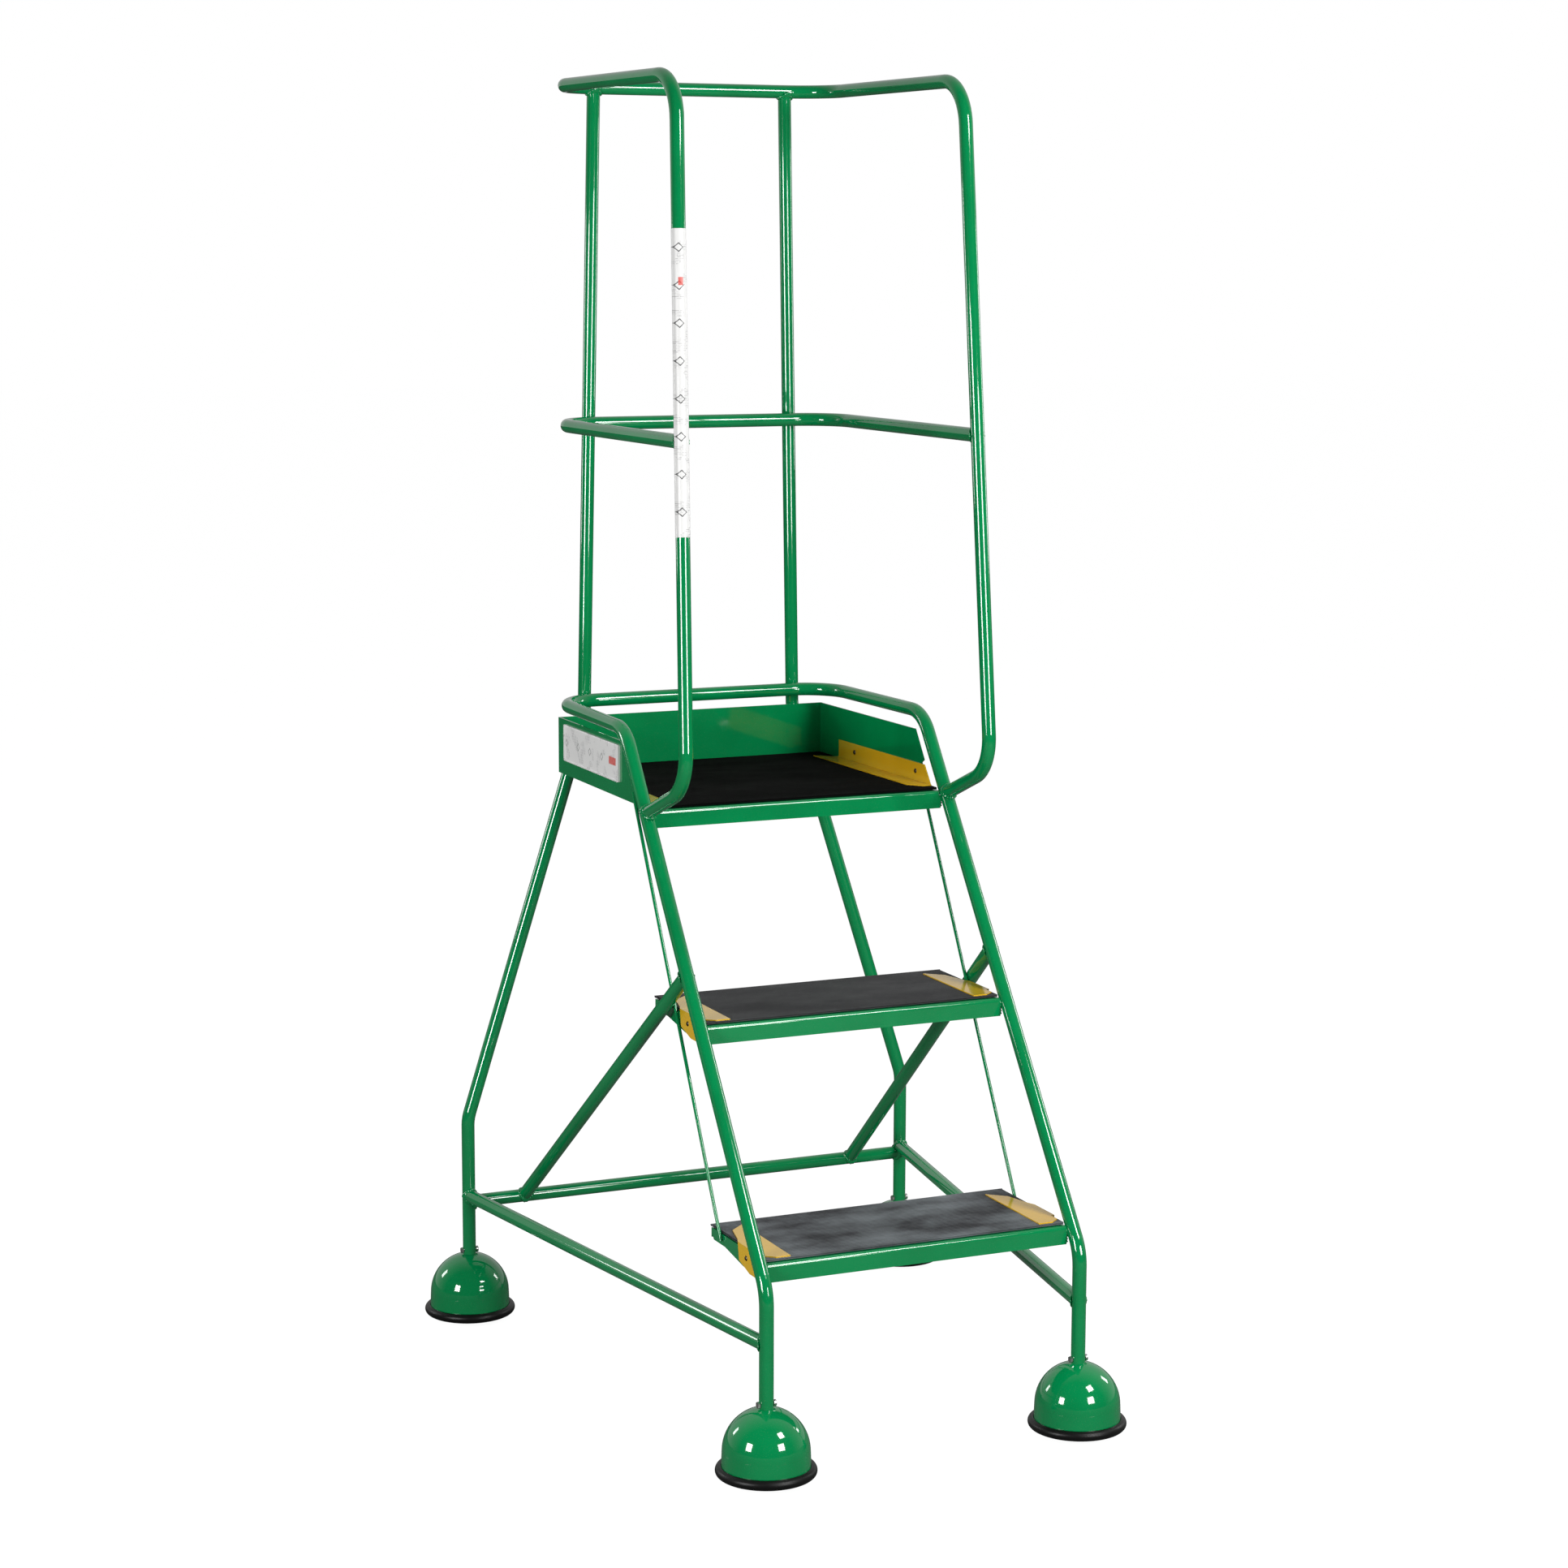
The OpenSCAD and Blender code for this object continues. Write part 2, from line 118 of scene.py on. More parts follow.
def new_group(name, inputs, outputs):
    """A node group with named sockets. Inputs are (name, kind, value) and outputs (name, kind)."""
    tree = bpy.data.node_groups.new(name, "ShaderNodeTree")
    for label, kind, value in inputs:
        tree.interface.new_socket(name=label, in_out="INPUT", socket_type=kind).default_value = value
    for label, kind in outputs:
        tree.interface.new_socket(name=label, in_out="OUTPUT", socket_type=kind)
    return tree, tree.nodes.new("NodeGroupInput"), tree.nodes.new("NodeGroupOutput")


def use_group(tree, group, **values):
    """Places a group in a tree. Each value is a socket or a plain value for a named input."""
    node = tree.nodes.new("ShaderNodeGroup")
    node.node_tree = group
    for name, value in values.items():
        feed(tree, value, node.inputs[name.replace("_", " ")])
    return node


FLOAT, COLOUR = "NodeSocketFloat", "NodeSocketColor"
print("node helpers are ready")

# %% [markdown]
# Sprayed enamel is never quite flat. It dries with a faint ripple, called orange peel, and
# its colour shifts a little where the coat is thinner. An image could hold all this, but it
# would need unwrapped tubes and would stretch at the bends. Noise in object space needs
# neither, and the pattern stays on the steel. The effect is a group, because the green and
# the yellow paint both use it.

# %% Group: sprayed coat
coat, coat_in, coat_out = new_group(
    "sprayed coat",
    [("Colour", COLOUR, (0, 0.3, 0.1, 1)), ("Thin Colour", COLOUR, (0, 0.2, 0.07, 1)),
     ("Gloss", FLOAT, 0.12), ("Ripple Scale", FLOAT, 260.0), ("Dust", FLOAT, 0.1)],
    [("Colour", COLOUR), ("Roughness", FLOAT), ("Height", FLOAT)])
dust_colour = (0.42, 0.45, 0.4, 1)
gloss_drift = 0.06
place = add(coat, "ShaderNodeTexCoord")
cloud = add(coat, "ShaderNodeTexNoise", Scale=9.0, Detail=3.0, Roughness=0.6)
ripple = add(coat, "ShaderNodeTexNoise", Detail=2.0, Roughness=0.5)
specks = add(coat, "ShaderNodeTexNoise", Scale=900.0, Detail=1.0)
for texture in (cloud, ripple, specks):
    join(coat, place.outputs["Object"], texture.inputs["Vector"])
join(coat, coat_in.outputs["Ripple Scale"], ripple.inputs["Scale"])
thin_mask = add(coat, "ShaderNodeMapRange", From_Min=0.42, From_Max=0.75)
join(coat, cloud.outputs["Fac"], thin_mask.inputs["Value"])
dust_mask = add(coat, "ShaderNodeMapRange", From_Min=0.62, From_Max=0.74)
join(coat, specks.outputs["Fac"], dust_mask.inputs["Value"])
paint = mix_colours(coat, thin_mask.outputs[0], coat_in.outputs["Colour"],
                    coat_in.outputs["Thin Colour"])
dustiness = math_node(coat, "MULTIPLY", dust_mask.outputs[0], coat_in.outputs["Dust"])
join(coat, mix_colours(coat, dustiness, paint, dust_colour), coat_out.inputs["Colour"])
roughness = math_node(coat, "MULTIPLY_ADD", cloud.outputs["Fac"], gloss_drift,
                      coat_in.outputs["Gloss"])
join(coat, roughness, coat_out.inputs["Roughness"])
join(coat, ripple.outputs["Fac"], coat_out.inputs["Height"])
print("group", coat.name, "has", len(coat.nodes), "nodes")

# %% [markdown]
# Steel parts are dipped or sprayed in one thick gloss coat. A Principled shader with a clear
# coat gives the sharp white streaks, and the base below it gives the deep colour. One shiny
# layer alone would have to choose between the two.

# %% Enamel materials
def enamel(name, colour, thin_colour, gloss, dust):
    """Gloss paint. A lower gloss value is shinier."""
    m, tree, shader = new_material(name)
    shader.inputs["IOR"].default_value = 1.5
    shader.inputs["Coat Weight"].default_value = 0.6
    shader.inputs["Coat Roughness"].default_value = 0.03
    look = use_group(tree, coat, Colour=colour, Thin_Colour=thin_colour, Gloss=gloss, Dust=dust)
    bump = add(tree, "ShaderNodeBump", Strength=0.05, Distance=0.0004)
    join(tree, look.outputs["Colour"], shader.inputs["Base Color"])
    join(tree, look.outputs["Roughness"], shader.inputs["Roughness"])
    join(tree, look.outputs["Height"], bump.inputs["Height"])
    join(tree, bump.outputs["Normal"], shader.inputs["Normal"])
    print("material:", name)
    return m


green = enamel("green enamel", (0.0, 0.25, 0.072, 1), (0.0, 0.21, 0.058, 1), 0.05, 0.05)
yellow = enamel("yellow enamel", (0.83, 0.50, 0.012, 1), (0.78, 0.43, 0.01, 1), 0.14, 0.12)

# %% [markdown]
# Rubber is dull and slightly uneven. The treads carry scuffs and a bloom of grey dust where
# shoes land, so the mat material mixes a pale grey into the black. On the lower tread that
# grey is also painted sheen, the room mirrored in the rubber. The patches are a noise that is
# squeezed front to back, as feet slide that way less than sideways. The foot rings show little
# scuffing and use the same function with darker colours. The platform mat is the same rubber
# made nearly black, which is painted shade for the inside of the tray.

# %% Rubber materials
def rubber(name, black, worn_and_sheen, wear_and_sheen, roughness, shine=0.5):
    """Black rubber with pale patches, which are scuffs and dust and can carry painted sheen.
    wear_and_sheen is the share of the worn_and_sheen colour in a patch.
    """
    m, tree, shader = new_material(name)
    shader.inputs["Specular IOR Level"].default_value = shine
    place = add(tree, "ShaderNodeTexCoord")
    squeeze = add(tree, "ShaderNodeMapping", Scale=(1.0, 1.9, 1.0))
    patches = add(tree, "ShaderNodeTexNoise", Scale=7.0, Detail=6.0, Roughness=0.6)
    grain = add(tree, "ShaderNodeTexNoise", Scale=800.0, Detail=2.0)
    worn_and_sheen_mask = add(tree, "ShaderNodeMapRange", From_Min=0.40, From_Max=0.68, To_Max=wear_and_sheen)
    rough = add(tree, "ShaderNodeMapRange", From_Min=0.3, From_Max=0.7,
                To_Min=roughness + 0.12, To_Max=roughness - 0.1)
    bump = add(tree, "ShaderNodeBump", Strength=0.35, Distance=0.0003)
    join(tree, place.outputs["Object"], squeeze.inputs["Vector"])
    join(tree, squeeze.outputs["Vector"], patches.inputs["Vector"])
    join(tree, place.outputs["Object"], grain.inputs["Vector"])
    join(tree, patches.outputs["Fac"], worn_and_sheen_mask.inputs["Value"])
    join(tree, mix_colours(tree, worn_and_sheen_mask.outputs[0], black, worn_and_sheen), shader.inputs["Base Color"])
    join(tree, patches.outputs["Fac"], rough.inputs["Value"])
    join(tree, rough.outputs[0], shader.inputs["Roughness"])
    join(tree, grain.outputs["Fac"], bump.inputs["Height"])
    join(tree, bump.outputs["Normal"], shader.inputs["Normal"])
    print("material:", name)
    return m


# The lower mat's pale grey patches are partly scuffs and dust and partly painted sheen of the room.
low_mat_rubber = rubber("lower mat rubber", (0.022, 0.023, 0.027, 1), (0.21, 0.235, 0.25, 1),
                        wear_and_sheen=0.85, roughness=0.42)
high_mat_rubber = rubber("upper mat rubber", (0.020, 0.020, 0.022, 1), (0.05, 0.052, 0.054, 1),
                         wear_and_sheen=0.6, roughness=0.5)
# The platform mat's near-black colours are painted shade: the tray's boards shade this rubber, so it
# is made darker than the same rubber on the treads.
shaded_deck_rubber = rubber("platform mat rubber", (0.002, 0.002, 0.002, 1), (0.006, 0.0055, 0.0055, 1),
                     wear_and_sheen=0.6, roughness=0.9, shine=0.1)
ring_rubber = rubber("foot ring rubber", (0.003, 0.003, 0.003, 1), (0.009, 0.008, 0.008, 1),
                     wear_and_sheen=0.5, roughness=0.36, shine=0.3)
wheel_plastic = rubber("castor wheel plastic", (0.02, 0.02, 0.022, 1), (0.05, 0.05, 0.05, 1),
                       wear_and_sheen=0.5, roughness=0.4)

# %% [markdown]
# Zinc plating is a bright metal with a fine grain and a little yellow-grey bloom. The screws
# in the yellow strips are the same steel left dark. One noise drives the tint, the dullness
# and the bump together, because on the real plating the dull spots are the rough ones.

# %% Metals
def plated_steel(name, bright, bloomed, smooth, rough):
    m, tree, shader = new_material(name)
    shader.inputs["Metallic"].default_value = 1.0
    place = add(tree, "ShaderNodeTexCoord")
    bloom = add(tree, "ShaderNodeTexNoise", Scale=60.0, Detail=4.0)
    dullness = add(tree, "ShaderNodeMapRange", To_Min=smooth, To_Max=rough)
    bump = add(tree, "ShaderNodeBump", Strength=0.1, Distance=0.0002)
    join(tree, place.outputs["Object"], bloom.inputs["Vector"])
    spots = bloom.outputs["Fac"]
    join(tree, mix_colours(tree, spots, bright, bloomed), shader.inputs["Base Color"])
    join(tree, spots, dullness.inputs["Value"])
    join(tree, dullness.outputs[0], shader.inputs["Roughness"])
    join(tree, spots, bump.inputs["Height"])
    join(tree, bump.outputs["Normal"], shader.inputs["Normal"])
    print("material:", name)
    return m


zinc = plated_steel("zinc plate", (0.72, 0.73, 0.75, 1), (0.55, 0.54, 0.49, 1), 0.2, 0.42)
dark_steel = plated_steel("dark screw steel", (0.09, 0.075, 0.05, 1), (0.05, 0.04, 0.03, 1),
                          0.3, 0.5)

# %% [markdown]
# The labels are white film with small generic marks: short grey dashes in rows, a few dark
# lozenges and a red patch. Both labels use them, so they are a group. It takes a place on the
# film, along and across in metres, and gives masks. Bricks make the dashes, noise thins them
# out, and the sum of two distances from the middle of a repeated cell makes the lozenges.

# %% Group: printed marks
marks, marks_in, marks_out = new_group(
    "printed marks",
    [("Along", FLOAT, 0.0), ("Across", FLOAT, 0.0), ("Cell", FLOAT, 0.045),
     ("Lozenge", FLOAT, 0.005), ("Row", FLOAT, 0.0022)],
    [("Dark", FLOAT), ("Grey", FLOAT)])
line_width, dash_length, dash_gap = 0.0008, 0.007, 0.0006
block_scale, block_edge = 46.0, 0.53
along, across = marks_in.outputs["Along"], marks_in.outputs["Across"]
cell = marks_in.outputs["Cell"]
cell_place = math_node(marks, "FRACT", math_node(marks, "DIVIDE", along, cell))
from_middle = math_node(marks, "MULTIPLY", math_node(marks, "SUBTRACT", cell_place, 0.5), cell)
distance = math_node(marks, "ADD", math_node(marks, "ABSOLUTE", from_middle),
                     math_node(marks, "ABSOLUTE", across))
from_rim = math_node(marks, "SUBTRACT", distance, marks_in.outputs["Lozenge"])
lozenge = math_node(marks, "LESS_THAN", math_node(marks, "ABSOLUTE", from_rim), line_width)
flat = add(marks, "ShaderNodeCombineXYZ")
join(marks, across, flat.inputs["X"])
join(marks, along, flat.inputs["Y"])
dashes = add(marks, "ShaderNodeTexBrick", Scale=1.0, Mortar_Size=dash_gap, Brick_Width=dash_length,
             Color1=(1, 1, 1, 1), Color2=(0.1, 0.1, 0.1, 1), Mortar=(0, 0, 0, 1))
join(marks, flat.outputs[0], dashes.inputs["Vector"])
join(marks, marks_in.outputs["Row"], dashes.inputs["Row Height"])
blocks = add(marks, "ShaderNodeTexNoise", Scale=block_scale, Detail=1.0)
join(marks, flat.outputs[0], blocks.inputs["Vector"])
printed = math_node(marks, "GREATER_THAN", blocks.outputs["Fac"], block_edge)
grey = math_node(marks, "MULTIPLY", dashes.outputs["Color"], printed)
join(marks, lozenge, marks_out.inputs["Dark"])
join(marks, grey, marks_out.inputs["Grey"])
print("group", marks.name, "has", len(marks.nodes), "nodes")

# %% [markdown]
# The film itself is one function for both labels. The inks are laid over the white one after
# the other, as a printer does: grey dashes, dark lozenges, then the red patch. Where a point
# lies on the film differs between a sleeve and a plate, so each label brings its own function
# for that.

# %% Film material
white, grey_ink = (0.84, 0.84, 0.83, 1), (0.12, 0.12, 0.13, 1)
dark_ink, red_ink = (0.03, 0.03, 0.032, 1), (0.72, 0.07, 0.05, 1)
red_cover = 0.85


def film(name, cell, lozenge, row, grey_share, dark_share, red_middle, red_size, place_on_film):
    """White film. place_on_film(tree) gives the sockets along and across in metres."""
    m, tree, shader = new_material(name)
    shader.inputs["Roughness"].default_value = 0.35
    along, across = place_on_film(tree)
    print_marks = use_group(tree, marks, Along=along, Across=across, Cell=cell, Lozenge=lozenge,
                            Row=row)
    grey_mask = math_node(tree, "MULTIPLY", print_marks.outputs["Grey"], grey_share)
    dark_mask = math_node(tree, "MULTIPLY", print_marks.outputs["Dark"], dark_share)
    inside = []
    for socket, middle, size in zip((along, across), red_middle, red_size):
        away = math_node(tree, "ABSOLUTE", math_node(tree, "SUBTRACT", socket, middle))
        inside.append(math_node(tree, "LESS_THAN", away, size / 2))
    red_mask = math_node(tree, "MULTIPLY", math_node(tree, "MULTIPLY", *inside), red_cover)
    colour = mix_colours(tree, grey_mask, white, grey_ink)
    colour = mix_colours(tree, dark_mask, colour, dark_ink)
    colour = mix_colours(tree, red_mask, colour, red_ink)
    join(tree, colour, shader.inputs["Base Color"])
    print("material:", name)
    return m


sleeve_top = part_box("upright_label")[1].z
sleeve_lean, sleeve_middle = -0.01716, 0.2296


def place_on_sleeve(tree):
    """The upright leans a little, so its middle is a straight line in x against height."""
    place = add(tree, "ShaderNodeTexCoord")
    split = add(tree, "ShaderNodeSeparateXYZ")
    join(tree, place.outputs["Object"], split.inputs[0])
    x, z = split.outputs["X"], split.outputs["Z"]
    middle = math_node(tree, "MULTIPLY_ADD", z, sleeve_lean, sleeve_middle)
    return math_node(tree, "SUBTRACT", sleeve_top, z), math_node(tree, "ADD", x, middle)


sleeve_film = film("sleeve film", cell=0.046, lozenge=0.0052, row=0.0021, grey_share=0.5,
                   dark_share=0.9, red_middle=(0.064, 0.002), red_size=(0.010, 0.006),
                   place_on_film=place_on_sleeve)

# %% [markdown]
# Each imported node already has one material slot. Giving every node its finish is a matter of
# looking its name up. The shapes stay as they are.

# %% Give each node its finish
def finish_of(name):
    if name.endswith(("_stem", "_fork", "_axle", "_spring")) or name == "leg_bolts":
        return zinc
    if name == "strip_screws":
        return dark_steel
    if name.endswith("_wheel"):
        return wheel_plastic
    if name.endswith("_ring"):
        return ring_rubber
    if name.endswith("_strips"):
        return yellow
    return {"upright_label": sleeve_film, "platform_mat": shaded_deck_rubber,
            "tread_1_mat": low_mat_rubber, "tread_2_mat": high_mat_rubber}.get(name, green)


for name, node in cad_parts.items():
    for slot in node.material_slots:
        slot.material = finish_of(name)
print("finished", len(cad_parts), "nodes")

# %% [markdown]
# The mats are ribbed along the tread, so that shoes grip. The real mat is rolled with its
# ribs on. Here a grid is laid over the mat, every second strip of faces is flagged and the
# grid is raised with extrude, and the sheet then gets its thickness from Solidify. An array
# of separate bars would look the same but would not be one piece of rubber. The grid's other
# edges are still selected when it is extruded, so the sheet keeps some open flanges and
# reaches 2 mm past the mat. Clearing the selection first would give a closed sheet.

# %% Ribbed mats
rib_pitch, rib_rise = 0.0042, 0.0009
mat_clearance = 0.0003


def only(obj):
    """Makes obj the one selected and active object."""
    bpy.ops.object.select_all(action="DESELECT")
    obj.select_set(True)
    bpy.context.view_layer.objects.active = obj


def ribbed_sheet(name, node, finish):
    """An open sheet over a mat's node, with its ribs raised to the top of the node."""
    low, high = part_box(node)
    strips = 2 * round((high.y - low.y) / rib_pitch)
    step = (high.y - low.y) / strips
    bpy.ops.object.select_all(action="DESELECT")
    bpy.ops.mesh.primitive_grid_add(x_subdivisions=1, y_subdivisions=strips, size=1.0)
    mat = bpy.context.object
    mat.name = name
    mat.scale = (high.x - low.x, high.y - low.y, 1.0)
    mat.location = ((low.x + high.x) / 2, (low.y + high.y) / 2, high.z - rib_rise)
    bpy.ops.object.transform_apply(location=True, rotation=True, scale=True)
    bpy.ops.object.mode_set(mode="EDIT")
    bpy.ops.mesh.select_mode(type="FACE")
    bpy.ops.object.mode_set(mode="OBJECT")
    for face in mat.data.polygons:
        face.select = int((face.center.y - low.y) / step) % 2 == 0
    bpy.ops.object.mode_set(mode="EDIT")
    bpy.ops.mesh.extrude_region_move(TRANSFORM_OT_translate={"value": (0, 0, rib_rise)})
    bpy.ops.object.mode_set(mode="OBJECT")
    mat.data.materials.append(finish)
    return mat, low, high


def close_mat(mat, low, high, node):
    """Gives the sheet its thickness and lets it ride on the frame in the node's place."""
    only(mat)
    solid = mat.modifiers.new("thickness", "SOLIDIFY")
    solid.thickness = (high.z - low.z) - rib_rise - mat_clearance
    solid.offset = -1.0
    solid.use_even_offset = False
    bpy.ops.object.modifier_apply(modifier="thickness")
    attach(mat, "frame")
    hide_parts(node)
    print(mat.name, "has", len(mat.data.polygons), "faces")


for node, finish in (("tread_1_mat", low_mat_rubber), ("tread_2_mat", high_mat_rubber)):
    mat, low, high = ribbed_sheet(node.replace("_mat", "_ribbed_mat"), node, finish)
    close_mat(mat, low, high, node)

# %% [markdown]
# The platform narrows to the rear, and a fitter trims its mat with a knife to suit. Bisect is
# the knife here: the sheet is made full width and cut along a slanted line on each side. The
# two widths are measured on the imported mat, at its rear edge and near its front edge.

# %% Platform mat
edge_reach, front_reach = 0.001, 0.03
mat, low, high = ribbed_sheet("platform_ribbed_mat", "platform_mat", shaded_deck_rubber)
corners = [v.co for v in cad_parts["platform_mat"].data.vertices]
rear_half = max(c.x for c in corners if c.y > high.y - edge_reach)
front_half = max(c.x for c in corners if c.y < low.y + front_reach)
for side in (-1, 1):
    only(mat)
    bpy.ops.object.mode_set(mode="EDIT")
    bpy.ops.mesh.select_all(action="SELECT")
    cut = Vector((side * (rear_half - front_half), high.y - low.y - front_reach, 0)).normalized()
    bpy.ops.mesh.bisect(plane_co=(side * rear_half, high.y, 0),
                        plane_no=(side * cut.y, -side * cut.x, 0), clear_outer=True)
    bpy.ops.object.mode_set(mode="OBJECT")
close_mat(mat, low, high, "platform_mat")

# %% [markdown]
# The plate on the left board is a thin sheet of the same film on a backing, with rounded
# corners. A cube is scaled to its size, bevelled, and turned to the board, which runs inwards
# to the rear. The bevel takes all twelve edges, so it is wider than the sheet is thick and
# swells it. Bevelling only the four short edges would round the corners and leave it flat.

# %% Plate on the left board
plate_low, plate_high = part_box("side_label")
label_thickness, label_gap = 0.0003, 0.0002
plate_size = Vector((0.0008, 0.214, 0.050))
corner_radius = 0.003
board_turn = math.atan2(plate_high.x - plate_low.x - label_thickness, plate_high.y - plate_low.y)
front_corner = Vector((plate_low.x + label_gap, plate_low.y, plate_low.z))
bpy.ops.object.select_all(action="DESELECT")
bpy.ops.mesh.primitive_cube_add(size=1.0)
plate = bpy.context.object
plate.name = "board_plate"
plate.scale = plate_size
bpy.ops.object.transform_apply(location=False, rotation=False, scale=True)

bpy.ops.object.mode_set(mode="EDIT")
bpy.ops.mesh.select_all(action="SELECT")
bpy.ops.mesh.bevel(offset=corner_radius, segments=4, affect="EDGES")
bpy.ops.object.mode_set(mode="OBJECT")
plate.data.transform(Matrix.Translation(front_corner) @ Matrix.Rotation(-board_turn, 4, "Z")
                     @ Matrix.Translation((0, plate_size.y / 2, plate_size.z / 2)))
print("plate turned by", round(math.degrees(board_turn), 2), "degrees")


def place_on_plate(tree):
    """Along is measured from the plate's front end, and across from its middle height."""
    place = add(tree, "ShaderNodeTexCoord")
    split = add(tree, "ShaderNodeSeparateXYZ")
    join(tree, place.outputs["Object"], split.inputs[0])
    return (math_node(tree, "SUBTRACT", split.outputs["Y"], plate_low.y),
            math_node(tree, "SUBTRACT", split.outputs["Z"], plate_low.z + plate_size.z / 2))


plate_film = film("plate film", cell=0.046, lozenge=0.0048, row=0.0030, grey_share=0.45,
                  dark_share=0.7, red_middle=(0.028, 0.0), red_size=(0.026, 0.010),
                  place_on_film=place_on_plate)
plate.data.materials.append(plate_film)
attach(plate, "frame")
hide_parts("side_label")

# %% [markdown]
# Where tubes meet, the welder leaves a bead: a small ring of ripples that follows the saddle
# between two tubes. A torus round the branch tube is the start. Operators can't wrap a ring
# on a saddle, so its points are slid along the branch until they sit on the main tube, and a
# wave round the ring makes the ripples. Every joint gets a bead with its own ripple.

# %% Saddle bead
tube_radius = 0.009
bead_size = 0.0021


def saddle_bead(name, point, branch, main, seed):
    """A bead where a branch tube, which points away from the joint, meets the main tube."""
    branch, main = branch.normalized(), main.normalized()
    radius = tube_radius + bead_size * 0.2
    bpy.ops.object.select_all(action="DESELECT")
    bpy.ops.mesh.primitive_torus_add(major_segments=64, minor_segments=8,
                                     major_radius=radius, minor_radius=bead_size)
    ring = bpy.context.object
    ring.name = name
    across = branch.cross(main).normalized()
    lift = across.cross(branch).normalized()
    outward = (branch - main * branch.dot(main)).normalized()
    for v in ring.data.vertices:
        angle = math.atan2(v.co.y, v.co.x)
        ripple = 1 + 0.15 * math.sin(angle * 17 + seed) + 0.12 * math.sin(angle * 5 + 2 * seed)
        centre = Vector((v.co.x, v.co.y, 0)).normalized() * radius
        v.co = centre + (v.co - centre) * ripple
        share = max(-0.98, min(0.98, v.co.y / (tube_radius + bead_size)))
        height = tube_radius * math.sqrt(1 - share * share)
        v.co.z += (height - v.co.x * lift.dot(outward)) / branch.dot(outward)
    turn = Matrix((lift, across, branch)).transposed().to_4x4()
    ring.data.transform(Matrix.Translation(point) @ turn)
    finish_bead(ring)


def finish_bead(piece):
    """Turns the normals outwards, paints the bead and lets it ride on the frame."""
    only(piece)
    bpy.ops.object.mode_set(mode="EDIT")
    bpy.ops.mesh.select_all(action="SELECT")
    bpy.ops.mesh.normals_make_consistent(inside=False)
    bpy.ops.object.mode_set(mode="OBJECT")
    bpy.ops.object.shade_smooth()
    piece.data.materials.append(green)
    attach(piece, "frame")


# %% [markdown]
# The joints are given for the right side only: the point where two axes meet, the way that
# the branch leaves, and the way that the main tube runs. The left side mirrors them. The ends
# of the rails and braces are named first, so that each direction is one end minus the other.

# %% Beads on the tube joints
foot_line, rake_slope, rake_start = -0.377, 0.729, 0.236


def stringer_at(z):
    """The point of the right stringer's slanted axis at a height."""
    return Vector((0.214, foot_line + (z - rake_start) * rake_slope, z))


up, sideways, rake = Vector((0, 0, 1)), Vector((1, 0, 0)), Vector((0, rake_slope, 1))
side_rail_front, side_rail_rear = Vector((0.214, foot_line, 0.171)), Vector((0.332, 0.377, 0.175))
rear_rail_end = Vector((0.332, 0.377, 0.166))
brace_foot, brace_top = Vector((0.251, 0.377, 0.166)), stringer_at(0.576)
handrail_foot = stringer_at(0.762) - Vector((0, 0.004, 0.001))
mid_rail_end, upright_run = Vector((0.2047, -0.0916, 1.238)), Vector((-0.015, 0.0656, 0.874))
post_top, post_run = Vector((0.140, 0.372, 1.685)), Vector((0.017, 0.005, -0.853))
tube_joints = [
    ("base_rail_front", side_rail_front, side_rail_rear - side_rail_front, up),
    ("base_rail_rear", side_rail_rear, side_rail_front - side_rail_rear, up),
    ("rear_rail", rear_rail_end, -sideways, up),
    ("brace_foot", brace_foot, brace_top - brace_foot, sideways),
    ("brace_top", brace_top, brace_foot - brace_top, rake),
    ("handrail_foot", handrail_foot, Vector((-0.002, -0.126, 0.05)), rake),
    ("mid_rail_end", mid_rail_end, Vector((0, 1, 0)), upright_run),
    ("post_top", post_top, post_run, sideways),
]
for number, (name, point, branch, main) in enumerate(tube_joints):
    for side, word in ((1, "right"), (-1, "left")):
        flip = Vector((side, 1, 1))
        saddle_bead(word + "_" + name + "_weld", point * flip, branch * flip, main * flip,
                    seed=number * 1.7 + side)
print("saddle beads:", 2 * len(tube_joints))

# %% [markdown]
# The folded lips of the treads and of the platform are welded to the stringers by a short
# straight run at each end. A cylinder is subdivided into rings by bisecting it at even
# heights, and every second ring is swollen, which leaves a row of small overlapping drops.

# %% Straight beads on the lips
def straight_bead(name, low_end, high_end, drops):
    """A run of drops between two points, thinner at both ends of the run."""
    length = (high_end - low_end).length
    bpy.ops.object.select_all(action="DESELECT")
    bpy.ops.mesh.primitive_cylinder_add(vertices=12, radius=bead_size, depth=length)
    run = bpy.context.object
    run.name = name
    bpy.ops.object.mode_set(mode="EDIT")
    for n in range(1, 2 * drops):
        bpy.ops.mesh.select_all(action="SELECT")
        bpy.ops.mesh.bisect(plane_co=(0, 0, -length / 2 + n * length / (2 * drops)),
                            plane_no=(0, 0, 1))
    bpy.ops.object.mode_set(mode="OBJECT")
    for v in run.data.vertices:
        place = (v.co.z / length + 0.5) * drops
        swell = 0.72 + 0.28 * math.cos(2 * math.pi * (place - 0.5))
        end = min(1.0, 0.35 + 2.2 * min(place, drops - place))
        v.co.x *= swell * end
        v.co.y *= swell * end
    turn = (high_end - low_end).to_track_quat("Z", "Y").to_matrix().to_4x4()
    run.data.transform(Matrix.Translation((low_end + high_end) / 2) @ turn)
    finish_bead(run)


